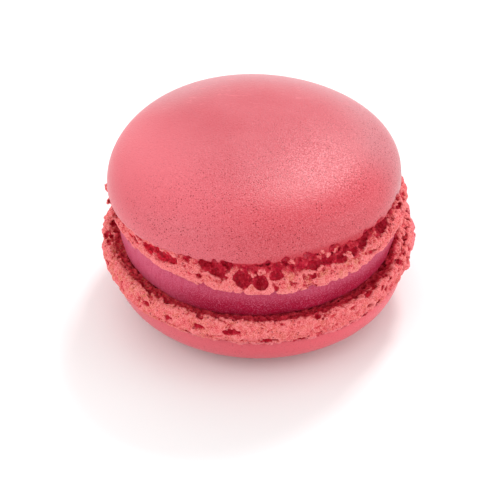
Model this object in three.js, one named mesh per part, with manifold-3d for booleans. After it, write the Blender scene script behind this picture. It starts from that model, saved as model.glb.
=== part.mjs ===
// A single macaron: two domed almond shells, each with its craggy foot, and a band of filling between them.
// Millimetres, +Z up. It rests on a small flat spot under the lower shell, and its front faces -Y.

import * as THREE from 'three';
import { mergeVertices } from 'three/addons/utils/BufferGeometryUtils.js';
import Module from 'manifold-3d';

const wasm = await Module();
wasm.setup();

// Levels of the macaron, from the top down. Each is a nearly round outline with its radius and height,
// a sideways shift [x, y], a lean about X and about Y in degrees, and how far it strays from a true circle:
// bulge is the sway of its radius and rise the sway of its height, as [cos 2a, sin 2a, cos 3a, sin 3a].
const DOME_RIM = {
  radius: 20.8,
  height: 20.7,
  shift: [-0.76, 0.28],
  lean: [-1.38, -0.98],
  bulge: [0.1, 0.15, 0.3, -0.09],
  rise: [-0.28, 0.1, 0.06, 0.08],
};
const UPPER_LIP = {
  radius: 21.0,
  height: 16.1,
  shift: [0.29, 0],
  lean: [-0.41, -0.2],
  bulge: [0, 0, 0, 0],
  rise: [0.22, 0.11, 0.12, -0.31],
};
const LOWER_TOP = {
  radius: 20.0,
  height: 11.4,
  shift: [0, 0.09],
  lean: [0, 0],
  bulge: [0, 0, 0, 0],
  rise: [-0.08, 0.14, 0, 0],
};
const FOOT_WAIST = {
  radius: 22.5,
  height: 9.7,
  shift: [0, 0.08],
  lean: [0, 0],
  bulge: [0, 0.57, 0.14, 0.14],
  rise: [0, 0, 0, 0],
};
const SKIN_EDGE = {
  radius: 21.0,
  height: 6.9,
  shift: [0.16, -0.1],
  lean: [-0.89, 0.41],
  bulge: [0, 0.2, 0, 0],
  rise: [-0.03, 0.12, 0, 0],
};

// The two domes are superellipses: a higher power is a flatter top with a tighter shoulder.
const DOME_HEIGHT = 7.2;
const DOME_POWER = 2.68;
const BASE_POWER = 2.93;
const DOME_RINGS = 8;
const BASE_RINGS = 6;
const FLAT_SPOT_RADIUS = 8;

const SEGMENTS = 72;
const FILLING_GAP = 0.3;
const CRUMB_SEED = 20;

const SHELL_PINK = 0xe26b75;
const FILLING_RED = 0xa92c50;

const radians = THREE.MathUtils.degToRad;

// A seeded draw between two values, the same on every run.
function makeRandom(seed) {
  let state = seed;
  return (low, high) => {
    state = (state + 0x6d2b79f5) | 0;
    let mixed = Math.imul(state ^ (state >>> 15), 1 | state);
    mixed = (mixed + Math.imul(mixed ^ (mixed >>> 7), 61 | mixed)) ^ mixed;
    const share = ((mixed ^ (mixed >>> 14)) >>> 0) / 4294967296;
    return low + (high - low) * share;
  };
}

function sway([cos2, sin2, cos3, sin3], angle) {
  const twice = cos2 * Math.cos(2 * angle) + sin2 * Math.sin(2 * angle);
  const thrice = cos3 * Math.cos(3 * angle) + sin3 * Math.sin(3 * angle);
  return twice + thrice;
}

// A point at an angle round one level. reach scales the level's radius, out and up move the point in mm,
// and hold is how much of the level's lean and rise it keeps.
function pointOn(level, angle, { reach = 1, out = 0, up = 0, hold = 1 }) {
  const radius = (level.radius + sway(level.bulge, angle)) * reach + out;
  const x = radius * Math.cos(angle);
  const y = radius * Math.sin(angle);
  const tilt = y * Math.tan(radians(level.lean[0])) - x * Math.tan(radians(level.lean[1]));
  const height = level.height + up + hold * (tilt + reach * sway(level.rise, angle));
  return new THREE.Vector3(x + level.shift[0], y + level.shift[1], height);
}

// A point between two levels: share is 0 on the first one and 1 on the second.
function pointBetween(station, angle) {
  const start = pointOn(station.from, angle, station);
  if (!station.to) return start;
  return start.lerp(pointOn(station.to, angle, station), station.share);
}

// A turned body from its stations, listed from the bottom of its axis to the top. The plain lathe's points
// then go to their places on the uneven levels, and crumb pushes the rough ones in and out.
function turnedBody(stations, random) {
  const outline = stations.map(({ from, reach = 1, out = 0, up = 0 }) => {
    return new THREE.Vector2(from.radius * reach + out, from.height + up);
  });
  const geometry = new THREE.LatheGeometry(outline, SEGMENTS);
  const position = geometry.getAttribute('position');
  stations.forEach((station, row) => {
    for (let column = 0; column < SEGMENTS; column++) {
      const angle = (column / SEGMENTS) * 2 * Math.PI;
      const point = pointBetween(station, angle);
      const crumb = station.crumb ?? 0;
      const push = random(-crumb, crumb);
      point.x += push * Math.cos(angle);
      point.y += push * Math.sin(angle);
      point.z += random(-crumb, crumb) / 2;
      position.setXYZ(column * stations.length + row, point.x, point.y, point.z);
      if (column === 0) position.setXYZ(SEGMENTS * stations.length + row, point.x, point.y, point.z);
    }
  });
  return geometry;
}

function toSolid(geometry) {
  const bare = geometry.clone();
  bare.deleteAttribute('normal');
  bare.deleteAttribute('uv');
  const merged = mergeVertices(bare);
  const index = merged.getIndex().array;
  const faces = [];
  for (let i = 0; i < index.length; i += 3) {
    const [a, b, c] = index.slice(i, i + 3);
    if (a !== b && b !== c && c !== a) faces.push(a, b, c);
  }
  const vertProperties = new Float32Array(merged.getAttribute('position').array);
  return new wasm.Manifold(new wasm.Mesh({ numProp: 3, vertProperties, triVerts: new Uint32Array(faces) }));
}

function toGeometry(solid) {
  const { vertProperties, triVerts } = solid.getMesh();
  const geometry = new THREE.BufferGeometry();
  geometry.setAttribute('position', new THREE.BufferAttribute(vertProperties, 3));
  geometry.setIndex(new THREE.BufferAttribute(triVerts, 1));
  geometry.computeVertexNormals();
  return geometry;
}

// One torn bubble: a low-sided ball, wider or taller than round where it is stretched. A pit has 20 sides.
function bubble({ station, angle, radius, wide = 1, tall = 1, pit = false }) {
  const ball = new THREE.IcosahedronGeometry(radius, pit ? 0 : 1);
  ball.scale(1, wide, tall);
  ball.rotateZ(angle);
  const place = pointBetween(station, angle);
  ball.translate(place.x, place.y, place.z);
  return toSolid(ball);
}

// A row of bubbles round a foot, evenly spaced with some play, each a little different in size and depth.
function bubbleRow({ count, from, to, share, depth, radius, wide = 1.2, tall = 0.9, pit }, random) {
  const row = [];
  for (let i = 0; i < count; i++) {
    const angle = ((i + random(-0.4, 0.4)) / count) * 2 * Math.PI;
    const station = { from, to, share: random(...share), out: -random(...depth) };
    row.push({ station, angle, radius: random(...radius), wide: wide * random(0.8, 1.2), tall, pit });
  }
  return row;
}

// Cuts the bubbles out one by one. A bubble that would stay shut inside, or leave a loose scrap, is skipped.
function tornBy(geometry, bubbles) {
  let body = toSolid(geometry);
  for (const item of bubbles) {
    const torn = body.subtract(bubble(item));
    if (torn.decompose().length === 1) body = torn;
  }
  return body;
}

// Steps up a quarter of a superellipse, from its widest ring to its pole: the reach of its radius
// and the lift of its height.
function quarterSteps(rings, power) {
  const steps = [];
  for (let i = 0; i < rings; i++) {
    const turn = ((i / rings) * Math.PI) / 2;
    steps.push({ reach: Math.cos(turn) ** (2 / power), lift: Math.sin(turn) ** (2 / power) });
  }
  return steps;
}

// Upper shell: flat underside, thin lip over the filling, foot face, deep groove under the rim, dome.
function upperShell(random) {
  const face = (share, out, crumb) => ({ from: UPPER_LIP, to: DOME_RIM, share, out, crumb });
  const domeSteps = quarterSteps(DOME_RINGS, DOME_POWER).map(({ reach, lift }) => {
    return { from: DOME_RIM, reach, up: DOME_HEIGHT * lift };
  });
  const stations = [
    { from: UPPER_LIP, reach: 0, up: FILLING_GAP },
    { from: UPPER_LIP, out: -1.1, up: FILLING_GAP },
    { from: UPPER_LIP, out: -0.4, crumb: 0.12 },
    face(0.06, 0, 0.25),
    face(0.2, 0, 0.35),
    face(0.36, -0.3, 0.4),
    face(0.52, -0.8, 0.4),
    face(0.68, -1.5, 0.4),
    face(0.82, -1.9, 0.3),
    face(0.92, -1.1, 0.2),
    face(0.97, -0.3, 0.08),
    ...domeSteps,
    { from: DOME_RIM, reach: 0, up: DOME_HEIGHT },
  ];
  const foot = { from: UPPER_LIP, to: DOME_RIM };
  const rows = [
    { ...foot, count: 13, share: [0.2, 0.4], depth: [0, 0.4], radius: [0.5, 0.9] },
    { ...foot, count: 15, share: [0.55, 0.8], depth: [1.2, 1.8], radius: [0.7, 1.1] },
    { ...foot, count: 17, share: [0.1, 0.6], depth: [0, 0.6], radius: [0.4, 0.6], pit: true },
  ];
  const frontPair = [
    { station: face(0.3, -0.4), angle: radians(-96), radius: 1.2 },
    { station: face(0.28, -0.4), angle: radians(-88.5), radius: 1.15 },
  ];
  const bubbles = [...rows.flatMap((row) => bubbleRow(row, random)), ...frontPair];
  return tornBy(turnedBody(stations, random), bubbles);
}

// Lower shell: flat spot, the base curving up to the edge of its skin, the wide foot, then the top
// that carries the filling, with a shallow dip just outside it.
function lowerShell(random) {
  const skin = (share, out, crumb) => ({ from: SKIN_EDGE, to: FOOT_WAIST, share, out, crumb });
  const top = (share, out, crumb) => ({ from: FOOT_WAIST, to: LOWER_TOP, share, out, crumb });
  const baseSteps = quarterSteps(BASE_RINGS, BASE_POWER)
    .filter(({ reach }) => reach * SKIN_EDGE.radius > FLAT_SPOT_RADIUS)
    .map(({ reach, lift }) => ({ from: SKIN_EDGE, reach, up: -SKIN_EDGE.height * lift, hold: 1 - lift }));
  const stations = [
    { from: SKIN_EDGE, reach: 0, up: -SKIN_EDGE.height, hold: 0 },
    { from: SKIN_EDGE, reach: FLAT_SPOT_RADIUS / SKIN_EDGE.radius, up: -SKIN_EDGE.height, hold: 0 },
    ...baseSteps.reverse(),
    skin(0.12, 0.35, 0.12),
    skin(0.36, 0.5, 0.3),
    skin(0.7, 0.25, 0.35),
    { from: FOOT_WAIST, crumb: 0.35 },
    top(0.5, 0.9, 0.35),
    top(0.85, 1.5, 0.35),
    { from: LOWER_TOP, out: 1.3, up: -0.05, crumb: 0.25 },
    { from: LOWER_TOP, out: 0.6, up: -0.4, crumb: 0.15 },
    { from: LOWER_TOP, out: -0.3, up: -FILLING_GAP / 2 },
    { from: LOWER_TOP, reach: 0, up: -FILLING_GAP / 2 },
  ];
  const side = { from: SKIN_EDGE, to: FOOT_WAIST };
  const shoulder = { from: FOOT_WAIST, to: LOWER_TOP };
  const rows = [
    { ...side, count: 17, share: [0.1, 0.4], depth: [-0.3, 0.1], radius: [0.6, 1], tall: 0.7 },
    { ...side, count: 11, share: [0.8, 1], depth: [-0.1, 0.3], radius: [0.5, 0.9] },
    { ...side, count: 17, share: [0.4, 1], depth: [-0.1, 0.2], radius: [0.4, 0.6], pit: true },
    { ...shoulder, count: 13, share: [0.5, 0.9], depth: [-1.4, -0.7], radius: [0.4, 0.7], pit: true },
  ];
  const slit = { station: skin(0.55, 0), angle: radians(-45), radius: 0.8, wide: 2, tall: 0.7 };
  const bubbles = [...rows.flatMap((row) => bubbleRow(row, random)), slit];
  return tornBy(turnedBody(stations, random), bubbles);
}

// Filling: a smooth band, slightly hollow at its waist, flat above and below.
function filling(random) {
  const band = (share, out) => ({ from: LOWER_TOP, to: UPPER_LIP, share, out });
  const stations = [
    { from: LOWER_TOP, reach: 0, up: FILLING_GAP / 2 },
    { from: LOWER_TOP, out: -0.3, up: FILLING_GAP / 2 },
    band(0.12, 0),
    band(0.4, -0.6),
    band(0.7, -0.95),
    band(0.93, -1.2),
    { from: UPPER_LIP, out: -1.5 },
    { from: UPPER_LIP, reach: 0 },
  ];
  return toSolid(turnedBody(stations, random));
}

function namedMesh(name, solid, color, roughness) {
  const material = new THREE.MeshStandardMaterial({ color, roughness, metalness: 0 });
  const mesh = new THREE.Mesh(toGeometry(solid), material);
  mesh.name = name;
  return mesh;
}

// The origin is under the middle of the whole macaron, on the surface that it rests on.
function buildMacaron() {
  const random = makeRandom(CRUMB_SEED);
  const macaron = new THREE.Group();
  macaron.add(
    namedMesh('upper_shell', upperShell(random), SHELL_PINK, 0.6),
    namedMesh('filling', filling(random), FILLING_RED, 0.35),
    namedMesh('lower_shell', lowerShell(random), SHELL_PINK, 0.7),
  );
  const extent = new THREE.Box3().setFromObject(macaron);
  const centre = extent.getCenter(new THREE.Vector3());
  macaron.position.set(-centre.x, -centre.y, -extent.min.z);
  return macaron;
}

const macaron = buildMacaron();

export default macaron;
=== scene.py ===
import math

import bpy
import numpy as np
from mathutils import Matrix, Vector
from mathutils.bvhtree import BVHTree


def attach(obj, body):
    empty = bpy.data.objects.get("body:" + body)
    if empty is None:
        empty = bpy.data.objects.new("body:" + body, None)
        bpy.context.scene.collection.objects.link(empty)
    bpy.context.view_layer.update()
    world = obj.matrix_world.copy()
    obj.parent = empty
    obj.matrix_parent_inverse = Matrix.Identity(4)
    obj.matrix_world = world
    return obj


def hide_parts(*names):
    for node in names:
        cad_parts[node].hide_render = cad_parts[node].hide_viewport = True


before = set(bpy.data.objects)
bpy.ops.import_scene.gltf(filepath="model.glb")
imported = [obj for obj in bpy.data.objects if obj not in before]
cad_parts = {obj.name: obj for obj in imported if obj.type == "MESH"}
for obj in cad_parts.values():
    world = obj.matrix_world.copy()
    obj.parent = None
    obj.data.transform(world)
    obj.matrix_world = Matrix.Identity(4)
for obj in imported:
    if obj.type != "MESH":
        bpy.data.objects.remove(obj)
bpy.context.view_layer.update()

MM = 0.001

# Levels of the macaron, from the floor up, in mm and degrees. Each is a nearly round outline: its radius
# and height, a sideways shift, a lean about X and about Y, and how far it strays from a true circle.
# bulge sways its radius and rise its height, by cos 2a, sin 2a, cos 3a, sin 3a of the angle a round it.
FLOOR_LEVEL = dict(radius=21.0, height=0.0, shift=(-0.05, -0.23), lean=(0, 0), bulge=(0, 0, 0, 0),
                   rise=(0, 0, 0, 0))
SKIN_EDGE = dict(radius=21.0, height=6.9, shift=(-0.05, -0.23), lean=(-0.89, 0.41), bulge=(0, 0.2, 0, 0),
                 rise=(-0.03, 0.12, 0, 0))
FOOT_WAIST = dict(radius=22.5, height=9.7, shift=(-0.21, -0.05), lean=(0, 0), bulge=(0, 0.57, 0.14, 0.14),
                  rise=(0, 0, 0, 0))
LOWER_TOP = dict(radius=20.0, height=11.4, shift=(-0.21, -0.04), lean=(0, 0), bulge=(0, 0, 0, 0),
                 rise=(-0.08, 0.14, 0, 0))
UPPER_LIP = dict(radius=21.0, height=16.1, shift=(0.08, -0.13), lean=(-0.41, -0.2), bulge=(0, 0, 0, 0),
                 rise=(0.22, 0.11, 0.12, -0.31))
DOME_RIM = dict(radius=20.8, height=20.7, shift=(-0.97, 0.15), lean=(-1.38, -0.98),
                bulge=(0.1, 0.15, 0.3, -0.09), rise=(-0.28, 0.1, 0.06, 0.08))
LEVELS = [FLOOR_LEVEL, SKIN_EDGE, FOOT_WAIST, LOWER_TOP, UPPER_LIP, DOME_RIM]

DOME_HEIGHT = 7.2
DOME_POWER = 2.68
BASE_POWER = 2.93
FLAT_SPOT_RADIUS = 8.0

# How finely each body is made. Inside HIDDEN_RADIUS, in mm, and under the dome nothing shows, so only a
# share of the faces there is kept.
TURN_STEPS = 144
DOME_RINGS = 26
BASE_RINGS = 20
BALL_SUBDIVISIONS = 2
BALL_DENT = 0.18
CRUMB_VOXEL = 0.115 * MM
SKIN_VOXEL = 0.18 * MM
HIDDEN_RADIUS = 18.9
HIDDEN_FACES_KEPT = 0.1
UNDERSIDE_FACES_KEPT = 0.05
MOST_TRIANGLES = 195_000

SEED = 20
random = np.random.default_rng(SEED)


def only(piece):
    """Makes one piece the selected and active one, and nothing else."""
    bpy.ops.object.select_all(action="DESELECT")
    bpy.context.view_layer.objects.active = piece
    piece.select_set(True)


def open_for_shaping(piece):
    only(piece)
    bpy.ops.object.mode_set(mode="EDIT")
    bpy.ops.mesh.select_all(action="SELECT")


def close_shaping():
    bpy.ops.object.mode_set(mode="OBJECT")


def apply_modifier(piece, kind, **settings):
    """Adds one modifier to a piece and applies it at once."""
    only(piece)
    modifier = piece.modifiers.new(kind.title(), kind)
    for name, value in settings.items():
        setattr(modifier, name, value)
    bpy.ops.object.modifier_apply(modifier=modifier.name)


def remesh(piece, voxel):
    apply_modifier(piece, "REMESH", mode="VOXEL", voxel_size=voxel, use_smooth_shade=True)


def vertex_places(piece):
    places = np.empty(len(piece.data.vertices) * 3)
    piece.data.vertices.foreach_get("co", places)
    return places.reshape(-1, 3)


def round_places(piece):
    """The angle, radius and height of each vertex, in degrees and mm."""
    x, y, z = vertex_places(piece).T / MM
    return np.degrees(np.arctan2(y, x)), np.hypot(x, y), z


def triangles_in(piece):
    return sum(len(polygon.vertices) - 2 for polygon in piece.data.polygons)


def smoothly(values, low, high):
    """0 below low, 1 above high, and an even S between them."""
    share = np.clip((values - low) / (high - low), 0, 1)
    return share * share * (3 - 2 * share)


def near_angle(angles, middle, width):
    """1 at an angle round the axis, falling to 0 a width away, in degrees."""
    away = np.abs((angles - middle + 180) % 360 - 180)
    return 1 - smoothly(away, 0, width)


def quarter(power, count):
    """Steps up a quarter of a superellipse: reach of its radius and lift of its height, without the pole."""
    turns = [i / count * math.pi / 2 for i in range(count)]
    return [(math.cos(t) ** (2 / power), math.sin(t) ** (2 / power)) for t in turns]


def turned(name, outline, ring=False):
    """Turns an outline of (radius, height) points in mm round the axis, one extruded ring after another.
    A ring is bridged back to its start, and any other body is closed with a grid at both ends."""
    radius, height = outline[0]
    bpy.ops.mesh.primitive_circle_add(vertices=TURN_STEPS, radius=radius * MM)
    piece = bpy.context.object
    piece.name = piece.data.name = name
    open_for_shaping(piece)
    bpy.ops.transform.translate(value=(0, 0, height * MM))
    for (radius, height), (next_radius, next_height) in zip(outline, outline[1:]):
        climb = (0, 0, (next_height - height) * MM)
        bpy.ops.mesh.extrude_region_move(TRANSFORM_OT_translate={"value": climb})
        grow = next_radius / radius
        bpy.ops.transform.resize(value=(grow, grow, 1), center_override=(0, 0, next_height * MM))
    if ring:
        bpy.ops.mesh.select_all(action="DESELECT")
        bpy.ops.mesh.select_non_manifold()
        bpy.ops.mesh.bridge_edge_loops()
    else:
        bpy.ops.mesh.fill_grid(span=TURN_STEPS // 4)
        bpy.ops.mesh.select_all(action="DESELECT")
        bpy.ops.mesh.select_non_manifold()
        bpy.ops.mesh.fill_grid(span=TURN_STEPS // 4)
    bpy.ops.mesh.select_all(action="SELECT")
    bpy.ops.mesh.normals_make_consistent(inside=False)
    close_shaping()
    return piece


def settle(piece):
    """Moves a piece that was made round and upright to the uneven levels of the real macaron."""
    places = vertex_places(piece)
    x, y, z = (places / MM).T
    heights = [level["height"] for level in LEVELS]

    def blended(key, item=None):
        values = [level[key] if item is None else level[key][item] for level in LEVELS]
        return np.interp(z, heights, values)

    angle = np.arctan2(y, x)
    reach = np.hypot(x, y) / blended("radius")
    waves = [np.cos(2 * angle), np.sin(2 * angle), np.cos(3 * angle), np.sin(3 * angle)]
    bulge = reach * sum(blended("bulge", i) * wave for i, wave in enumerate(waves))
    rise = reach * sum(blended("rise", i) * wave for i, wave in enumerate(waves))
    lean_x, lean_y = (np.tan(np.radians(blended("lean", i))) for i in range(2))
    settled = [
        x + bulge * np.cos(angle) + blended("shift", 0),
        y + bulge * np.sin(angle) + blended("shift", 1),
        z + y * lean_x - x * lean_y + rise,
    ]
    piece.data.vertices.foreach_set("co", (np.stack(settled, axis=1) * MM).ravel())
    piece.data.update()


class Face:
    """A stretch of an outline that shows, with places along it by share of its length. It may swell outwards
    by some mm at an angle and a height."""

    def __init__(self, outline, swell=lambda angle, height: 0):
        self.points = np.array(outline)
        self.swell = swell
        steps = np.linalg.norm(np.diff(self.points, axis=0), axis=1)
        self.shares = np.concatenate([[0], np.cumsum(steps)]) / steps.sum()

    def at(self, share):
        radius = np.interp(share, self.shares, self.points[:, 0])
        height = np.interp(share, self.shares, self.points[:, 1])
        return radius, height

    def outward(self, share):
        """The outline's outward direction there, as (radial, upward)."""
        before, after = self.at(share - 0.02), self.at(share + 0.02)
        along = np.array(after) - np.array(before)
        normal = np.array([along[1], -along[0]])
        return normal / np.linalg.norm(normal)


def ball(face, angle, share, size, wide, tall, sink):
    """One ball on a face, at an angle in degrees and a share of the outline. Its size is a radius in mm,
    wide and tall stretch it, and sink is how deep its middle lies under the face, in radii."""
    radius, height = face.at(share)
    radius += face.swell(angle, height)
    out, up = face.outward(share)
    depth = size * sink
    return math.radians(angle), radius - out * depth, height - up * depth, size, wide, tall


def scattered(face, count, share, size, sink, angles=(-180, 180), wide=1.3, tall=1.0):
    """Balls spread along a stretch of a face: evenly round it with play, at random sizes and depths."""
    balls = []
    for i in range(count):
        across = (i + random.uniform(-0.6, 0.6)) / count
        balls.append(ball(
            face,
            angles[0] + (angles[1] - angles[0]) * across,
            random.uniform(*share),
            size[0] + (size[1] - size[0]) * random.uniform(0, 1) ** 1.5,
            wide * random.uniform(0.75, 1.25),
            tall * random.uniform(0.85, 1.15),
            random.uniform(*sink),
        ))
    return balls


def unit_ball():
    """The places and the triangles of a ball with a radius of 1."""
    bpy.ops.mesh.primitive_ico_sphere_add(subdivisions=BALL_SUBDIVISIONS, radius=1)
    sphere = bpy.context.object
    places = vertex_places(sphere)
    faces = np.array([polygon.vertices[:] for polygon in sphere.data.polygons])
    bpy.data.objects.remove(sphere)
    return places, faces


def cluster(name, balls):
    """Dents balls of (angle, radius, height, size, wide, tall) a little and fuses them into one body."""
    unit, triangles = unit_ball()
    places, faces = [], []
    for number, (angle, radius, height, size, wide, tall) in enumerate(balls):
        roll = random.uniform(0, math.pi)
        dented = unit * (1 + BALL_DENT * np.sin(3 * unit[:, [0]] + roll) * np.cos(2 * unit[:, [2]] - roll))
        sized = dented * size * np.array([1, wide, tall])
        east, north = math.cos(angle), math.sin(angle)
        turn = np.array([[east, north, 0], [-north, east, 0], [0, 0, 1]])
        places.append(sized @ turn + np.array([radius * east, radius * north, height]))
        faces.append(triangles + number * len(unit))
    mesh = bpy.data.meshes.new(name)
    mesh.from_pydata((np.concatenate(places) * MM).tolist(), [], np.concatenate(faces).tolist())
    body = bpy.data.objects.new(name, mesh)
    bpy.context.collection.objects.link(body)
    remesh(body, CRUMB_VOXEL)
    return body


def combine(piece, body, operation):
    """Adds a body to a piece by UNION or takes it out by DIFFERENCE."""
    apply_modifier(piece, "BOOLEAN", operation=operation, object=body, solver="MANIFOLD")


def weigh(piece, name, weights):
    """Keeps a weight from 0 to 1 for each vertex, in tenths, as a vertex group."""
    group = piece.vertex_groups.new(name=name)
    tenths = np.round(np.clip(weights, 0, 1) * 10).astype(int)
    for tenth in range(1, 11):
        group.add(np.flatnonzero(tenths == tenth).tolist(), tenth / 10, "REPLACE")
    return name


def roughen(piece, kind, size, strength, group="", **settings):
    """Pushes a piece's surface in and out by a procedural texture of that grain size, in mm."""
    texture = bpy.data.textures.new(kind, kind)
    texture.noise_scale = size * MM
    for name, value in settings.items():
        setattr(texture, name, value)
    apply_modifier(piece, "DISPLACE", texture=texture, texture_coords="LOCAL", strength=strength * MM,
                   vertex_group=group)


def thin(piece, chosen, share):
    """Thins the faces between chosen vertices, where nothing shows, to a share of their number."""
    open_for_shaping(piece)
    bpy.ops.mesh.select_all(action="DESELECT")
    close_shaping()
    piece.data.vertices.foreach_set("select", chosen)
    bpy.ops.object.mode_set(mode="EDIT")
    bpy.ops.mesh.decimate(ratio=share)
    close_shaping()


def limit_faces(piece):
    """Thins a piece that has too many triangles."""
    faces = triangles_in(piece)
    if faces > MOST_TRIANGLES:
        apply_modifier(piece, "DECIMATE", ratio=MOST_TRIANGLES / faces)


def mark(piece, name, values):
    """Keeps a value for each vertex, for the piece's colours."""
    attribute = piece.data.attributes.new(name, "FLOAT", "POINT")
    attribute.data.foreach_set("value", np.asarray(values, dtype=np.float32))
    return values


def hollowness(piece, rounds):
    """How far each vertex lies under its smoothed surroundings, in mm, which is below 0 on a ridge."""
    places = vertex_places(piece)
    ends = np.empty(len(piece.data.edges) * 2, dtype=np.int64)
    piece.data.edges.foreach_get("vertices", ends)
    first, second = ends.reshape(-1, 2).T
    count = len(places)
    neighbours = np.bincount(first, minlength=count) + np.bincount(second, minlength=count)
    smooth = places.copy()
    for _ in range(rounds):
        for axis in range(3):
            values = smooth[:, axis]
            total = (np.bincount(first, weights=values[second], minlength=count)
                     + np.bincount(second, weights=values[first], minlength=count))
            smooth[:, axis] = (values + total) / (1 + neighbours)
    normals = np.empty(count * 3)
    piece.data.vertices.foreach_get("normal", normals)
    return np.sum((smooth - places) * normals.reshape(-1, 3), axis=1) / MM


def untorn(piece):
    """A copy of a piece's surface as it is now, to measure later depths from."""
    return BVHTree.FromObject(piece, bpy.context.evaluated_depsgraph_get())


def depth_under(surface, piece):
    """How deep each vertex lies under a surface, in mm, and below 0 over it."""
    depths = []
    for vertex in piece.data.vertices:
        spot, normal, _, _ = surface.find_nearest(vertex.co)
        depths.append((spot - vertex.co).dot(normal) / MM)
    return np.array(depths)


DOME_STEPS = [(DOME_RIM["radius"] * reach, DOME_RIM["height"] + DOME_HEIGHT * lift)
              for reach, lift in quarter(DOME_POWER, DOME_RINGS)]
BASE_STEPS = [(SKIN_EDGE["radius"] * reach, SKIN_EDGE["height"] * (1 - lift))
              for reach, lift in quarter(BASE_POWER, BASE_RINGS)]

# Outlines as (radius, height) in mm. A stretch that gets torn is a Face, and the others are plain lists.
DOME_UNDERSIDE = [(18.5, 19.6)]
DOME_EDGE = Face([(19.3, 19.75), (20.1, 19.65), (20.5, 19.7), (20.7, 19.95), (20.8, 20.3), (20.8, 20.7)])
FLUSH_SWELL = 0.95


def flush_with_dome(angle, height):
    """How far the upper foot stands out, in mm: up to the dome's edge at the front left, and less far at the
    front right."""
    share = np.maximum(near_angle(angle, -135, 48), 0.6 * near_angle(angle, -65, 50))
    return FLUSH_SWELL * share * smoothly(height, 17.3, 19.0)


UPPER_FACE = Face([(20.5, 16.2), (20.85, 16.1), (21.05, 16.4), (21.05, 16.9), (20.85, 17.5), (20.45, 18.2),
                   (20.0, 18.8), (19.8, 19.3), (19.75, 19.8), (19.75, 20.4)], flush_with_dome)
LOWER_FACE = Face([(21.3, 7.05), (21.7, 7.6), (22.1, 8.3), (22.4, 9.0), (22.5, 9.7), (22.35, 10.4),
                   (22.0, 11.0), (21.5, 11.25), (20.9, 11.0), (20.3, 10.7), (19.7, 10.6)])
UPPER_HIDDEN = [(19.2, 21.2), (17.6, 21.2), (17.6, 16.45), (19.9, 16.4)]
LOWER_HIDDEN = [(17.6, 10.6), (17.6, 6.75), (20.9, 6.75)]
BASE_OVER_EDGE = [(20.85, 7.15), (20.4, 7.3), (18.5, 7.3)]
FILLING_BAND = [(18.8, 10.5), (19.3, 10.6), (19.55, 10.9), (19.75, 11.5), (19.9, 12.3), (20.0, 13.2),
                (20.0, 14.2), (19.95, 15.2), (19.9, 16.2), (19.7, 16.6), (18.8, 16.6)]

# Tears and lumps that stand out, each as its angle in degrees and its share of the face, then its radius
# in mm, how wide and how tall it is stretched, and how deep it sinks in radii.
UPPER_TEARS = [
    (-147, 0.62, 0.35, 1.0, 1.0, 0.0), (-142.5, 0.6, 0.8, 1.3, 1.0, 0.1),
    (-135, 0.6, 1.0, 1.1, 1.2, 0.1), (-131, 0.78, 0.85, 1.3, 1.0, 0.2),
    (-127.5, 0.66, 1.0, 1.2, 1.0, 0.1), (-123.5, 0.62, 0.85, 1.2, 1.0, 0.1),
    (-115, 0.92, 0.6, 1.6, 0.7, 0.2), (-109, 0.78, 0.95, 1.3, 1.0, 0.3),
    (-105, 0.64, 1.0, 1.2, 1.0, 0.2), (-101, 0.82, 0.8, 1.2, 1.0, 0.2),
    (-103.4, 0.41, 0.3, 1.0, 1.0, 0.1), (-95.5, 0.47, 1.2, 1.1, 0.9, 0.25),
    (-88.5, 0.42, 1.1, 1.0, 0.95, 0.35), (-82, 0.58, 0.85, 1.3, 0.8, 0.2),
    (-83.3, 0.24, 0.38, 1.0, 1.0, 0.4), (-76, 0.31, 0.3, 2.6, 0.8, 0.2),
    (-68, 0.4, 0.42, 1.5, 0.9, 0.3), (-72.3, 0.2, 0.3, 1.3, 0.8, 0.0), (-67, 0.66, 0.7, 1.6, 0.8, 0.2),
    (-60, 0.66, 0.75, 1.6, 0.9, 0.3), (-54.5, 0.58, 0.7, 1.5, 0.9, 0.3),
    (-48.5, 0.6, 0.7, 1.5, 0.9, 0.3), (-42.5, 0.64, 0.7, 1.5, 0.9, 0.3),
    (-40, 0.33, 0.3, 2.4, 0.7, 0.1), (-53.7, 0.28, 0.22, 2.0, 0.6, 0.1),
    (-44.7, 0.5, 0.35, 1.4, 0.8, 0.1), (-29.5, 0.66, 1.1, 1.3, 1.0, 0.3),
    (-13.3, 0.45, 0.5, 0.8, 1.2, 0.2), (-5.3, 0.5, 0.35, 0.7, 2.0, 0.2),
    (-5, 0.28, 0.35, 0.7, 2.0, 0.2), (8.5, 0.35, 0.3, 0.7, 1.6, 0.2),
]
UPPER_LUMPS = [
    (-36.7, 0.45, 1.1, 1.4, 0.9, 0.5), (-20.3, 0.47, 0.8, 0.7, 1.6, 0.5),
    (-13, 0.35, 0.7, 0.8, 1.3, 0.5), (-178, 0.62, 0.75, 1.1, 0.9, -0.8),
    (170, 0.66, 0.6, 1.5, 0.8, -0.9), (-170, 0.6, 0.6, 1.6, 0.8, -0.8),
    (-162, 0.58, 0.55, 1.6, 1.0, -0.7), (162, 0.62, 0.55, 1.5, 0.9, -0.8),
    (176, 0.5, 0.6, 1.2, 0.9, -0.6),
]
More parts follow.
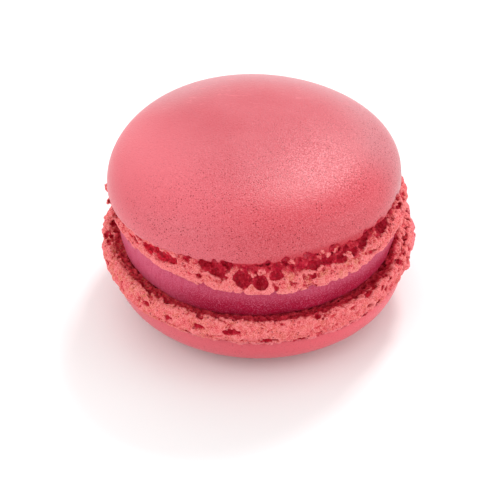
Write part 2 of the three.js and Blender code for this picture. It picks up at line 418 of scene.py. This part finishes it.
LOWER_TEARS = [
    (-122.3, 0.74, 0.25, 1.0, 1.0, 0.1), (-154, 0.96, 0.3, 1.0, 1.0, 0.2),
    (-123, 0.49, 0.5, 2.0, 0.45, 0.0), (-133.4, 0.52, 0.5, 2.0, 0.4, 0.0),
    (-137.6, 0.53, 0.3, 1.2, 1.0, 0.0), (-110.7, 0.5, 0.55, 2.0, 0.45, 0.0),
    (-81, 0.65, 0.32, 1.5, 0.8, 0.2), (-88.4, 0.84, 0.3, 2.0, 0.7, 0.2),
    (-43.7, 0.3, 0.6, 1.4, 0.9, 0.4), (-40.3, 0.73, 0.3, 2.0, 0.8, 0.3),
    (-66.7, 0.14, 0.55, 1.5, 0.7, 0.1), (-75.3, 0.08, 0.6, 1.7, 0.6, 0.1),
    (-99.2, 0.48, 0.7, 2.1, 0.45, 0.1), (-85.3, 0.25, 0.8, 1.6, 0.7, 0.2),
    (-95.2, 0.06, 0.5, 1.5, 0.6, 0.1), (-7.5, 0.8, 0.45, 1.0, 1.2, 0.2),
    (-15.3, 0.74, 0.45, 0.8, 1.5, 0.2), (-1, 0.76, 0.35, 0.8, 1.3, 0.2), (4, 0.72, 0.55, 1.0, 2.0, 0.1),
    (10, 0.66, 0.6, 0.9, 2.2, 0.1), (16, 0.74, 0.6, 1.1, 2.2, 0.1), (23, 0.7, 0.55, 1.3, 2.0, 0.1),
    (-27, 0.98, 0.6, 1.4, 0.9, 0.2), (-21, 0.7, 0.5, 1.1, 1.6, 0.1), (-11, 0.6, 0.45, 1.2, 1.5, 0.1),
    (1, 0.5, 0.45, 1.0, 1.6, 0.0), (30, 0.72, 0.55, 1.2, 2.0, 0.1),
]


def make_dome_skin():
    skin = turned("dome_skin", DOME_UNDERSIDE + DOME_EDGE.points.tolist() + DOME_STEPS[1:])
    whole = untorn(skin)
    bites = cluster("rim_bites", [
        *[ball(UPPER_FACE, *spot) for spot in UPPER_TEARS if spot[1] > 0.5],
        *scattered(DOME_EDGE, count=60, share=(0.5, 0.8), size=(0.15, 0.45), sink=(-0.1, 0.4),
                   angles=(-165, -80)),
        *scattered(DOME_EDGE, count=60, share=(0.4, 0.8), size=(0.2, 0.6), sink=(-0.2, 0.3),
                   angles=(-80, -10)),
        *scattered(DOME_EDGE, count=220, share=(0.4, 0.65), size=(0.12, 0.3), sink=(-0.3, 0.3)),
    ])
    combine(skin, bites, "DIFFERENCE")
    bpy.data.objects.remove(bites)
    remesh(skin, SKIN_VOXEL)
    _, radius, height = round_places(skin)
    thin(skin, (height < 19.8) & (radius < 19.3), UNDERSIDE_FACES_KEPT)
    apply_modifier(skin, "SMOOTH", factor=0.5, iterations=3)
    limit_faces(skin)
    mark(skin, "depth", depth_under(whole, skin))
    angle, _, height = round_places(skin)
    # Painted shade on the skin's lower edge, reaching higher at the front right, over the thin skin's own
    # redder tone.
    edge = 1 - smoothly(height, 19.9, 20.4)
    front_right = (1 - smoothly(height, 19.8, 22.2)) * near_angle(angle, -58, 50)
    mark(skin, "rim_shade", np.maximum(edge, front_right))
    return skin


def make_base_skin():
    crown = [step for step in reversed(BASE_STEPS) if step[0] > FLAT_SPOT_RADIUS]
    skin = turned("base_skin", [(FLAT_SPOT_RADIUS, 0)] + crown + BASE_OVER_EDGE)
    for name in ("depth", "rim_shade"):
        mark(skin, name, np.zeros(len(skin.data.vertices)))
    return skin


def make_filling_cream():
    cream = turned("filling_cream", FILLING_BAND)
    apply_modifier(cream, "SUBSURF", levels=1, render_levels=1)
    roughen(cream, "CLOUDS", size=3.0, strength=0.25)
    return cream


def swell_out(piece, face):
    """Moves the vertices of a face outwards by its swelling."""
    angle, radius, height = round_places(piece)
    shown = radius > face.points[:, 0].min() - 0.01
    grown = 1 + np.where(shown, face.swell(angle, height), 0) / radius
    places = vertex_places(piece) * np.stack([grown, grown, np.ones(len(grown))], axis=1)
    piece.data.vertices.foreach_set("co", places.ravel())
    piece.data.update()


def torn_foot(name, face, hidden, lumps, tears, grain, cells, relief):
    """Turns a foot as a plain ring, adds its lumps, tears its bubbles out and roughens it. grain says how
    grainy each place is, cells how full of large cells, and relief how far its slow waves go, in mm."""
    crumb = turned(name, face.points.tolist() + hidden, ring=True)
    swell_out(crumb, face)
    whole = untorn(crumb)
    for balls, operation in ((lumps, "UNION"), (tears, "DIFFERENCE")):
        body = cluster(name + "_" + operation.lower(), balls)
        combine(crumb, body, operation)
        bpy.data.objects.remove(body)
    remesh(crumb, CRUMB_VOXEL)
    _, radius, _ = round_places(crumb)
    thin(crumb, radius < HIDDEN_RADIUS, HIDDEN_FACES_KEPT)
    angle, radius, height = round_places(crumb)
    depth = mark(crumb, "depth", depth_under(whole, crumb))
    grainy = np.maximum(grain(angle, radius, height), 0.8 * smoothly(depth, 0.2, 0.5))
    fine = weigh(crumb, "grain", grainy)
    large = weigh(crumb, "cells", cells(angle))
    roughen(crumb, "CLOUDS", size=2.2, strength=relief)
    roughen(crumb, "VORONOI", size=1.4, strength=0.8, group=large)
    roughen(crumb, "CLOUDS", size=0.9, strength=0.4, group=fine)
    roughen(crumb, "VORONOI", size=0.65, strength=0.35, group=fine)
    roughen(crumb, "CLOUDS", size=0.35, strength=0.3, group=fine, noise_depth=2)
    limit_faces(crumb)
    mark(crumb, "hollow", hollowness(crumb, rounds=10))
    return crumb


def make_upper_crumb():
    lumps = [
        *[ball(UPPER_FACE, *spot) for spot in UPPER_LUMPS],
        *scattered(UPPER_FACE, count=100, share=(0.25, 0.7), size=(0.4, 0.9), sink=(0.55, 0.9)),
        *scattered(UPPER_FACE, count=60, share=(0.7, 0.98), size=(0.3, 0.7), sink=(0.3, 0.8)),
        *scattered(UPPER_FACE, count=40, share=(0.8, 1.0), size=(0.3, 0.6), sink=(0.0, 0.5),
                   angles=(-105, -15)),
    ]
    tears = [
        *[ball(UPPER_FACE, *spot) for spot in UPPER_TEARS],
        *scattered(UPPER_FACE, count=70, share=(0.62, 0.98), size=(0.3, 0.8), sink=(0.2, 0.8),
                   angles=(-80, 190)),
        *scattered(UPPER_FACE, count=50, share=(0.35, 0.6), size=(0.3, 0.6), sink=(0.1, 0.6),
                   angles=(-20, 200)),
        *scattered(UPPER_FACE, count=170, share=(0.25, 0.95), size=(0.35, 0.75), sink=(-0.7, -0.3)),
        *scattered(UPPER_FACE, count=260, share=(0.3, 0.95), size=(0.15, 0.4), sink=(-0.2, 0.6)),
        *scattered(UPPER_FACE, count=500, share=(0.05, 0.7), size=(0.14, 0.22), sink=(-0.2, 0.5)),
        *scattered(UPPER_FACE, count=14, share=(0.0, 0.1), size=(0.25, 0.5), sink=(0.0, 0.6),
                   angles=(-155, -45), wide=1.8, tall=0.7),
    ]

    def grain(angle, radius, height):
        return (0.5 + 0.5 * smoothly(height, 16.9, 17.8)) * (1 - 0.5 * near_angle(angle, -140, 45))

    def cells(angle):
        return 0.7 * near_angle(angle, 5, 35)

    crumb = torn_foot("upper_crumb", UPPER_FACE, UPPER_HIDDEN, lumps, tears, grain, cells, relief=0.5)
    angle, radius, height = round_places(crumb)
    # Painted shade in the recess under the dome's rim, lighter at the front left; it is kept in the same
    # mark as the lower foot's stain.
    shaded = 1 - 0.6 * near_angle(angle, -120, 40)
    mark(crumb, "stain_and_shade", smoothly(height, 18.2, 19.2) * shaded * (1 - smoothly(radius, 20.4, 20.8)))
    mark(crumb, "lit", near_angle(angle, -140, 50))
    mark(crumb, "toasted", 0.4 + 0.6 * near_angle(angle, -65, 55))
    for name in ("browned", "margin", "skinned"):
        mark(crumb, name, np.zeros(len(height)))
    # Painted light on the lip's lower edge and on the smooth face at the front left.
    lip = 0.8 * (1 - smoothly(height, 16.3, 17.2))
    front_left = 0.6 * near_angle(angle, -128, 40) * (1 - smoothly(height, 18, 19))
    mark(crumb, "lit_pale", np.maximum(lip, front_left))
    return crumb


def make_lower_crumb():
    lumps = [
        *scattered(LOWER_FACE, count=70, share=(0.2, 0.75), size=(0.4, 0.9), sink=(0.6, 0.9)),
        *scattered(LOWER_FACE, count=80, share=(0.75, 0.98), size=(0.3, 0.6), sink=(0.3, 0.8)),
        *scattered(LOWER_FACE, count=26, share=(0.78, 0.98), size=(0.7, 1.1), sink=(0.2, 0.5),
                   angles=(-25, 45)),
        *scattered(LOWER_FACE, count=18, share=(0.88, 1.0), size=(1.0, 1.4), sink=(-0.3, 0.2),
                   angles=(-14, 50)),
    ]
    tears = [
        *[ball(LOWER_FACE, *spot) for spot in LOWER_TEARS],
        *scattered(LOWER_FACE, count=50, share=(0.02, 0.15), size=(0.3, 0.7), sink=(0.0, 0.6),
                   wide=1.6, tall=0.7),
        *scattered(LOWER_FACE, count=60, share=(0.3, 0.75), size=(0.3, 0.6), sink=(0.0, 0.5),
                   angles=(-45, 190), tall=1.4),
        *scattered(LOWER_FACE, count=90, share=(0.15, 0.7), size=(0.35, 0.8), sink=(-0.7, -0.35)),
        *scattered(LOWER_FACE, count=700, share=(0.1, 0.98), size=(0.14, 0.24), sink=(-0.1, 0.6)),
        *scattered(LOWER_FACE, count=240, share=(0.7, 0.98), size=(0.2, 0.45), sink=(0.0, 0.6)),
    ]

    def grain(angle, radius, height):
        return 1 - 0.5 * smoothly(radius, 21.4, 22.0)

    def cells(angle):
        return 0.6 * near_angle(angle, 0, 60)

    crumb = torn_foot("lower_crumb", LOWER_FACE, LOWER_HIDDEN, lumps, tears, grain, cells, relief=0.65)
    angle, radius, height = round_places(crumb)
    edge = (21.3 - 0.3 * near_angle(angle, -175, 45) + 0.3 * near_angle(angle, -65, 45)
            - 1.4 * near_angle(angle, 15, 50))
    past_edge = radius - edge
    # The filling's stain together with painted shade on the slope beside the filling, reaching farther at
    # the front right and less far at the right.
    mark(crumb, "stain_and_shade", 1 - smoothly(past_edge, -0.8, 0.3))
    mark(crumb, "lit", near_angle(angle, -60, 70))
    mark(crumb, "toasted", 0.4 + 0.6 * near_angle(angle, -145, 70))
    mark(crumb, "browned", near_angle(angle, -160, 80))
    rim = smoothly(past_edge, -0.8, -0.1) * (1 - smoothly(past_edge, 0.2, 1.0))
    mark(crumb, "margin", rim * near_angle(angle, -145, 70))
    skin_level = 7.5 + 2.6 * near_angle(angle, 180, 45) + 3.4 * near_angle(angle, 15, 50)
    under_level = 1 - smoothly(height, skin_level - 0.6, skin_level + 0.5)
    mark(crumb, "skinned", under_level * smoothly(radius, 21, 21.3))
    mark(crumb, "lit_pale", np.zeros(len(height)))
    return crumb


class Shader:
    """A material under construction: each call adds a node and gives its output socket."""

    def __init__(self, name):
        self.material = bpy.data.materials.new(name)
        self.material.use_nodes = True
        self.nodes = self.material.node_tree.nodes
        self.links = self.material.node_tree.links
        self.surface = self.nodes["Principled BSDF"]
        self.place = self.add("ShaderNodeTexCoord", output="Object")

    def put(self, socket, value):
        if isinstance(value, bpy.types.NodeSocket):
            self.links.new(value, socket)
        else:
            socket.default_value = value

    def add(self, kind, output=0, inputs=None, **settings):
        node = self.nodes.new(kind)
        for name, value in settings.items():
            setattr(node, name, value)
        for name, value in (inputs or {}).items():
            self.put(node.inputs[name], value)
        return node.outputs[output]

    def attribute(self, name):
        """A value that the piece keeps for each vertex."""
        return self.add("ShaderNodeAttribute", output="Fac", attribute_name=name)

    def noise(self, size, detail=2.0, roughness=0.5, place=None):
        """Soft random values from 0 to 1 in patches of a size in mm."""
        return self.add("ShaderNodeTexNoise", output="Fac", inputs={
            "Vector": place or self.place, "Scale": 1 / (size * MM), "Detail": detail,
            "Roughness": roughness})

    def ramp(self, value, low, high, to_low=0.0, to_high=1.0):
        """Stretches a value so that low to high becomes to_low to to_high, held at both ends."""
        return self.add("ShaderNodeMapRange", interpolation_type="SMOOTHSTEP", inputs={
            "Value": value, "From Min": low, "From Max": high, "To Min": to_low, "To Max": to_high})

    def maths(self, operation, first, second):
        return self.add("ShaderNodeMath", operation=operation, inputs={0: first, 1: second})

    def times(self, first, second):
        return self.maths("MULTIPLY", first, second)

    def mix(self, share, first, second):
        """Mixes two colours by a share of the second."""
        return self.add("ShaderNodeMixRGB", inputs={"Fac": share, "Color1": first, "Color2": second})

    def dots(self, spacing, smallest, largest, soft=0.06):
        """1 in round dots scattered in space and 0 between them, with sizes in shares of the spacing."""
        cells = self.add("ShaderNodeTexVoronoi", output="Distance", inputs={
            "Vector": self.place, "Scale": 1 / (spacing * MM)})
        luck = self.add("ShaderNodeSeparateColor", inputs={"Color": cells.node.outputs["Color"]})
        reach = self.ramp(luck, 0.0, 1.0, smallest, largest)
        return self.ramp(self.maths("SUBTRACT", reach, cells), -soft / 2, soft)

    def grains(self, size):
        """Evenly spread grains of a size in mm: 0 in their middles, up to about 0.8 between them."""
        return self.add("ShaderNodeTexVoronoi", output="Distance", inputs={
            "Vector": self.place, "Scale": 1 / (size * MM), "Randomness": 0.85})

    def bump(self, height, depth):
        """Bumps the surface by a height from 0 to 1, depth mm deep."""
        return self.add("ShaderNodeBump", inputs={
            "Height": height, "Distance": depth * MM, "Strength": 1.0})

    def finish(self, **sockets):
        for name, value in sockets.items():
            self.put(self.surface.inputs[name.replace("_", " ")], value)
        return self.material


def linear(red, green, blue):
    """A colour given as it looks on a screen, 0 to 255, in the linear values that shaders take."""
    values = [channel / 255 for channel in (red, green, blue)]
    return [v / 12.92 if v <= 0.04045 else ((v + 0.055) / 1.055) ** 2.4 for v in values] + [1.0]


SKIN_PINK = linear(185, 69, 81)
SKIN_PALE = linear(189, 78, 89)
SKIN_FRONT_SHADE = linear(200, 74, 84)
SKIN_LIT_LEFT = linear(206, 92, 103)
SKIN_FAR_SHEEN = linear(186, 109, 116)
SKIN_UNDER_LIT = linear(226, 92, 104)
SKIN_DEEP = linear(172, 40, 54)
SKIN_GRAIN_AND_GLINT = linear(226, 118, 128)
SKIN_RIM_SHADE = linear(180, 16, 40)
PORE_RED = linear(128, 10, 24)
CRUMB_SALMON = linear(224, 99, 102)
CRUMB_PINK = linear(222, 116, 126)
CRUMB_BROWN = linear(170, 86, 66)
CRUMB_OLIVE = linear(190, 122, 88)
CRUMB_RUST = linear(202, 62, 70)
CRUMB_TAN = linear(204, 126, 90)
CRUMB_PALE = linear(236, 134, 136)
CRUMB_RED = linear(208, 44, 66)
CRUMB_PIT = linear(180, 12, 40)
CRUMB_CRIMSON = linear(218, 8, 48)
CRUMB_BURGUNDY = linear(168, 2, 42)
CRUMB_DARK = linear(120, 2, 24)
FILLING_MAGENTA = linear(150, 8, 46)
FILLING_MAUVE = linear(202, 92, 120)
FILLING_DARK = linear(170, 12, 54)

# Where the painted sparkle of the dome's highlight lies, in mm, and how far it reaches, the heights between
# which the looks of the base pass into those of the dome, and the sizes in mm of the grains of the skin and
# of all the rest.
SHINE_CENTRE = (9.0, -6.5, 26.8)
SHINE_REACH = (9 * MM, 2 * MM)
BASE_TO_DOME = (8 * MM, 17 * MM)
SKIN_GRAIN = 0.17
CRUMB_GRAIN = 0.18


def skin_material():
    shader = Shader("baked_skin")
    across = shader.add("ShaderNodeSeparateXYZ", output="X", inputs={"Vector": shader.place})
    along, height = across.node.outputs["Y"], across.node.outputs["Z"]
    dome = shader.ramp(height, *BASE_TO_DOME)
    forward = shader.maths("SUBTRACT", shader.times(across, 0.6), along)

    # Broad colours: soft patches of the skin's own tone, then painted shade at the front, painted light on
    # the left side, a painted sheen on the far rim of the dome, painted highlights along ripples, and
    # painted light on the base.
    patches = shader.ramp(shader.noise(7.0, detail=3.0), 0.35, 0.7)
    colour = shader.mix(patches, SKIN_PINK, SKIN_PALE)
    # Painted shade: a deeper pink towards the front of the dome and its right.
    front_shade = shader.times(shader.ramp(forward, 6 * MM, 18 * MM, 0.0, 0.8), dome)
    colour = shader.mix(front_shade, colour, SKIN_FRONT_SHADE)
    # Painted light: a lighter pink on the left side of the dome.
    lit_left = shader.maths("ADD", shader.times(across, -0.7), shader.times(along, -0.3))
    colour = shader.mix(shader.ramp(lit_left, 4 * MM, 13 * MM), colour, SKIN_LIT_LEFT)
    # Painted sheen: a paler pink on the dome's far rim, standing for a reflection of the bright surroundings
    # at grazing angles.
    away = shader.maths("ADD", shader.times(across, 0.45), shader.times(along, 0.89))
    rim = shader.times(shader.ramp(height, 27.6 * MM, 25.9 * MM), dome)
    colour = shader.mix(shader.times(rim, shader.ramp(away, -2 * MM, 8 * MM)), colour, SKIN_FAR_SHEEN)
    # Painted highlights: pale streaks along faint ripples on the far half of the dome.
    stretch = shader.add("ShaderNodeMapping", inputs={"Vector": shader.place, "Scale": (0.3, 1.0, 1.0)})
    ripple_highlights = shader.ramp(shader.noise(0.5, detail=2.0, place=stretch), 0.6, 0.75)
    ripple_highlights = shader.times(ripple_highlights, shader.ramp(along, 2 * MM, 12 * MM, 0.0, 0.4))
    colour = shader.mix(ripple_highlights, colour, SKIN_GRAIN_AND_GLINT)
    # Painted light on the base below the dome, stronger towards the right.
    below_dome = shader.maths("SUBTRACT", 1.0, dome)
    lit_base = shader.times(shader.ramp(across, -12 * MM, 14 * MM, 0.25, 0.8), below_dome)
    colour = shader.mix(lit_base, colour, SKIN_UNDER_LIT)

    # Fine grain of the skin's own, which shows most at the front, and a painted highlight: light and dark
    # sparkle specks round the place of the highlight.
    focus = shader.times(shader.ramp(forward, -8 * MM, 10 * MM, 0.2, 1.0),
                         shader.ramp(height, *BASE_TO_DOME, 0.35, 1.0))
    speck = shader.grains(SKIN_GRAIN)
    dark = shader.times(shader.ramp(speck, 0.42, 0.1, 0.0, 0.8), focus)
    light = shader.times(shader.ramp(speck, 0.48, 0.75, 0.0, 0.35), focus)
    colour = shader.mix(light, shader.mix(dark, colour, SKIN_DEEP), SKIN_GRAIN_AND_GLINT)
    shine = shader.add("ShaderNodeVectorMath", operation="DISTANCE", output="Value", inputs={
        0: shader.place, 1: tuple(value * MM for value in SHINE_CENTRE)})
    shine = shader.ramp(shine, *SHINE_REACH)
    sparkle = shader.noise(0.2, detail=1.0)
    dull = shader.times(shader.ramp(sparkle, 0.5, 0.3, 0.0, 0.8), shine)
    glint = shader.times(shader.ramp(sparkle, 0.5, 0.7), shine)
    colour = shader.mix(glint, shader.mix(dull, colour, SKIN_DEEP), SKIN_GRAIN_AND_GLINT)

    # Dark pores; deep red on the dome's lower rim, painted shade over the thin skin's own redder tone; and
    # painted shade where the skin is torn away.
    pores = shader.maths("MAXIMUM", shader.dots(0.33, 0.13, 0.31), shader.dots(1.5, 0.0, 0.09, soft=0.03))
    sparse = shader.ramp(shader.noise(2.5, detail=3.0), 0.35, 0.65, 0.5, 1.0)
    pores = shader.times(shader.times(pores, sparse), focus)
    colour = shader.mix(pores, colour, PORE_RED)
    colour = shader.mix(shader.ramp(shader.attribute("rim_shade"), 0.1, 1.0, 0.0, 0.9), colour, SKIN_RIM_SHADE)
    # Painted shade: burgundy in the hollows where the skin is torn away, deeper the deeper they lie.
    torn_shade = shader.ramp(shader.attribute("depth"), 0.06, 0.3)
    colour = shader.mix(torn_shade, colour, CRUMB_BURGUNDY)
    normal = shader.bump(shader.noise(0.22, detail=1.0), 0.05)
    return shader.finish(Base_Color=colour, Roughness=0.36, Normal=normal, Specular_IOR_Level=0.3,
                         Subsurface_Weight=0.1, Subsurface_Radius=(1.0 * MM, 0.35 * MM, 0.3 * MM),
                         Subsurface_Scale=1.0)


def crumb_material():
    shader = Shader("torn_crumb")
    hollow = shader.attribute("hollow")

    # The crumb that isn't torn: rusty and toasted patches, skin that still clings to it, painted light on
    # the lip and the front left, and its margin.
    rust = shader.ramp(shader.noise(1.1, detail=3.0), 0.4, 0.7, 0.0, 0.7)
    colour = shader.mix(rust, CRUMB_SALMON, CRUMB_RUST)
    tan = shader.ramp(shader.noise(1.2, detail=6.0, roughness=0.7), 0.44, 0.62, 0.0, 0.7)
    colour = shader.mix(shader.times(tan, shader.attribute("toasted")), colour, CRUMB_TAN)
    ragged = shader.times(shader.maths("SUBTRACT", shader.noise(0.9, detail=4.0), 0.5), 1.7)
    skinned = shader.ramp(shader.maths("ADD", shader.attribute("skinned"), ragged), 0.3, 0.7)
    colour = shader.mix(skinned, colour, CRUMB_PINK)
    colour = shader.mix(shader.times(shader.attribute("lit_pale"), 0.5), colour, CRUMB_PALE)
    olive = shader.ramp(shader.noise(0.6, detail=4.0, roughness=0.7), 0.44, 0.6, 0.0, 0.8)
    colour = shader.mix(shader.times(olive, shader.attribute("margin")), colour, CRUMB_OLIVE)

    # The insides of the tears in painted shade, deeper red the deeper they lie, darker in murky patches and
    # crimson where marked lit; and round the edge the filling's stain with painted shade.
    deep = shader.mix(shader.attribute("lit"), CRUMB_BURGUNDY, CRUMB_CRIMSON)
    depth = shader.maths("ADD", shader.attribute("depth"), shader.times(ragged, 0.12))
    inside = shader.ramp(depth, 0.04, 0.36, 0.0, 0.95)
    stain_and_shade = shader.ramp(shader.maths("ADD", shader.attribute("stain_and_shade"), ragged), 0.2, 0.8, 0.0, 0.9)
    clots = shader.ramp(shader.noise(0.4, detail=3.0), 0.42, 0.6, 0.0, 0.8)
    murk = shader.ramp(shader.noise(0.7, detail=2.0), 0.52, 0.38, 0.0, 0.7)
    stained_and_shaded = shader.mix(clots, CRUMB_BURGUNDY, CRUMB_PIT)
    brown = shader.ramp(shader.noise(0.5, detail=4.0, roughness=0.7), 0.48, 0.62, 0.0, 0.8)
    stained_and_shaded = shader.mix(shader.times(brown, shader.attribute("browned")), stained_and_shaded, CRUMB_BROWN)
    colour = shader.mix(stain_and_shade, colour, stained_and_shaded)
    colour = shader.mix(inside, colour, shader.mix(murk, shader.mix(clots, deep, CRUMB_RED), CRUMB_DARK))

    # Fine relief in colour: painted highlights on the crests and painted shade in the hollows, then dark
    # dotted pits and grain.
    covered = shader.maths("MAXIMUM", inside, stain_and_shade)
    crest = shader.mix(covered, CRUMB_PALE, CRUMB_RED)
    colour = shader.mix(shader.ramp(hollow, -0.12, -0.01, 0.6, 0.0), colour, crest)
    colour = shader.mix(shader.ramp(hollow, 0.01, 0.12, 0.0, 0.8), colour, CRUMB_PIT)
    pits = shader.maths("MAXIMUM", shader.dots(0.5, 0.04, 0.27), shader.dots(1.0, 0.04, 0.22, soft=0.1))
    colour = shader.mix(shader.times(pits, 0.85), colour, PORE_RED)
    speck = shader.grains(CRUMB_GRAIN)
    colour = shader.mix(shader.ramp(speck, 0.42, 0.1, 0.0, 0.7), colour, CRUMB_PIT)
    bright = shader.maths("SUBTRACT", 1.0, covered)
    light = shader.times(shader.ramp(speck, 0.46, 0.75, 0.0, 0.8), bright)
    colour = shader.mix(light, colour, CRUMB_PALE)
    normal = shader.bump(shader.noise(0.25, detail=3.0), 0.12)
    return shader.finish(Base_Color=colour, Roughness=0.7, Normal=normal, Specular_IOR_Level=0.08,
                         Subsurface_Weight=0.05, Subsurface_Radius=(0.6 * MM, 0.15 * MM, 0.15 * MM),
                         Subsurface_Scale=1.0)


def filling_material():
    shader = Shader("smooth_filling")
    across = shader.add("ShaderNodeSeparateXYZ", output="X", inputs={"Vector": shader.place})
    height = across.node.outputs["Z"]
    # Painted shade and light: darker towards the bottom of the filling, in the crease above the lower foot,
    # and lighter mauve towards the top and on the left side.
    uneven = shader.times(shader.maths("SUBTRACT", shader.noise(4.0), 0.5), 1.6 * MM)
    level = shader.maths("ADD", height, uneven)
    colour = shader.mix(shader.ramp(level, 11.4 * MM, 13.0 * MM), FILLING_DARK, FILLING_MAGENTA)
    colour = shader.mix(shader.ramp(level, 12.6 * MM, 15.4 * MM, 0.0, 0.6), colour, FILLING_MAUVE)
    lit_left = shader.ramp(across, -6 * MM, -16 * MM, 0.0, 0.7)
    colour = shader.mix(lit_left, colour, FILLING_MAUVE)
    streaks = shader.add("ShaderNodeMapping", inputs={"Vector": shader.place, "Scale": (1.0, 1.0, 0.2)})
    streaks = shader.noise(0.4, detail=2.0, place=streaks)
    colour = shader.mix(shader.ramp(streaks, 0.5, 0.35, 0.0, 0.3), colour, FILLING_DARK)
    speck = shader.grains(CRUMB_GRAIN)
    colour = shader.mix(shader.ramp(speck, 0.45, 0.1, 0.0, 0.6), colour, FILLING_DARK)
    colour = shader.mix(shader.ramp(speck, 0.48, 0.75, 0.0, 0.5), colour, FILLING_MAUVE)
    normal = shader.bump(shader.noise(0.6, detail=4.0), 0.05)
    return shader.finish(Base_Color=colour, Roughness=0.5, Normal=normal, Subsurface_Weight=0.15,
                         Subsurface_Radius=(1.0 * MM, 0.2 * MM, 0.3 * MM), Subsurface_Scale=1.0,
                         Specular_IOR_Level=0.1)


# The camera of the photograph: where it looks, how far it stands back in metres, how steeply it looks down,
# its lens in mm, and how far the picture is shifted, in shares of its width.
CAMERA_TARGET = Vector((-0.21, -0.13, 10.0)) * MM
CAMERA_DISTANCE = 380 * MM
CAMERA_ELEVATION = math.radians(38.63)
CAMERA_LENS = 189.2
CAMERA_SHIFT = (-0.0149, -0.0345)
CAMERA_NEAREST = 0.01

# The studio: its white surroundings, its floor, and its square soft lights, each with the direction it
# comes from, its size in metres and its power in watts.
WORLD_STRENGTH = 0.97
FLOOR_SIZE = 4
FLOOR_WHITE = (0.88, 0.88, 0.88, 1)
LIGHT_DISTANCE = 0.6
LIGHTS = {
    "left_softbox": ((-0.75, -0.35, 0.5), 0.5, 0.9),
    "highlight_softbox": ((0.24, 0.58, 0.78), 0.12, 1.45),
    "right_softbox": ((0.9, -0.2, 0.35), 0.4, 0.8),
    "back_softbox": ((-0.1, 0.9, 0.42), 0.6, 0.7),
}


def make_camera():
    lens = bpy.data.cameras.new("camera")
    camera = bpy.data.objects.new("camera", lens)
    bpy.context.collection.objects.link(camera)
    back = Vector((0, -math.cos(CAMERA_ELEVATION), math.sin(CAMERA_ELEVATION)))
    camera.location = CAMERA_TARGET + back * CAMERA_DISTANCE
    camera.rotation_euler = (math.pi / 2 - CAMERA_ELEVATION, 0, 0)
    lens.lens = CAMERA_LENS
    lens.shift_x, lens.shift_y = CAMERA_SHIFT
    lens.clip_start = CAMERA_NEAREST
    bpy.context.scene.camera = camera


def make_floor():
    bpy.ops.mesh.primitive_plane_add(size=FLOOR_SIZE)
    floor = bpy.context.object
    floor.name = "floor"
    shader = Shader("white_floor")
    white = shader.finish(Base_Color=FLOOR_WHITE, Roughness=0.9, Specular_IOR_Level=0.0)
    floor.data.materials.append(white)


def make_light(name, direction, size, power):
    """A square soft light that looks at the macaron from a direction."""
    lamp = bpy.data.lights.new(name, "AREA")
    lamp.energy = power
    lamp.size = size
    light = bpy.data.objects.new(name, lamp)
    bpy.context.collection.objects.link(light)
    towards = Vector(direction).normalized()
    light.location = CAMERA_TARGET + towards * LIGHT_DISTANCE
    light.rotation_euler = towards.to_track_quat("Z", "Y").to_euler()


def make_world():
    world = bpy.data.worlds.new("studio")
    bpy.context.scene.world = world
    world.use_nodes = True
    background = world.node_tree.nodes["Background"]
    background.inputs["Color"].default_value = (1, 1, 1, 1)
    background.inputs["Strength"].default_value = WORLD_STRENGTH


def make_studio():
    make_camera()
    make_floor()
    make_world()
    for name, (direction, size, power) in LIGHTS.items():
        make_light(name, direction, size, power)
    bpy.context.scene.view_settings.view_transform = "Standard"


dome_skin = make_dome_skin()
base_skin = make_base_skin()
filling_cream = make_filling_cream()
upper_crumb = make_upper_crumb()
lower_crumb = make_lower_crumb()

skin, crumbs, cream = skin_material(), crumb_material(), filling_material()
for piece, node, slot, material in (
    (dome_skin, "upper_shell", "shell", skin),
    (upper_crumb, "upper_shell", "shell", crumbs),
    (filling_cream, "filling", "filling", cream),
    (lower_crumb, "lower_shell", "shell", crumbs),
    (base_skin, "lower_shell", "shell", skin),
):
    settle(piece)
    only(piece)
    bpy.ops.object.shade_smooth()
    piece.data.materials.clear()
    piece.data.materials.append(material)
    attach(piece, "root")
    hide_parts(node)
make_studio()
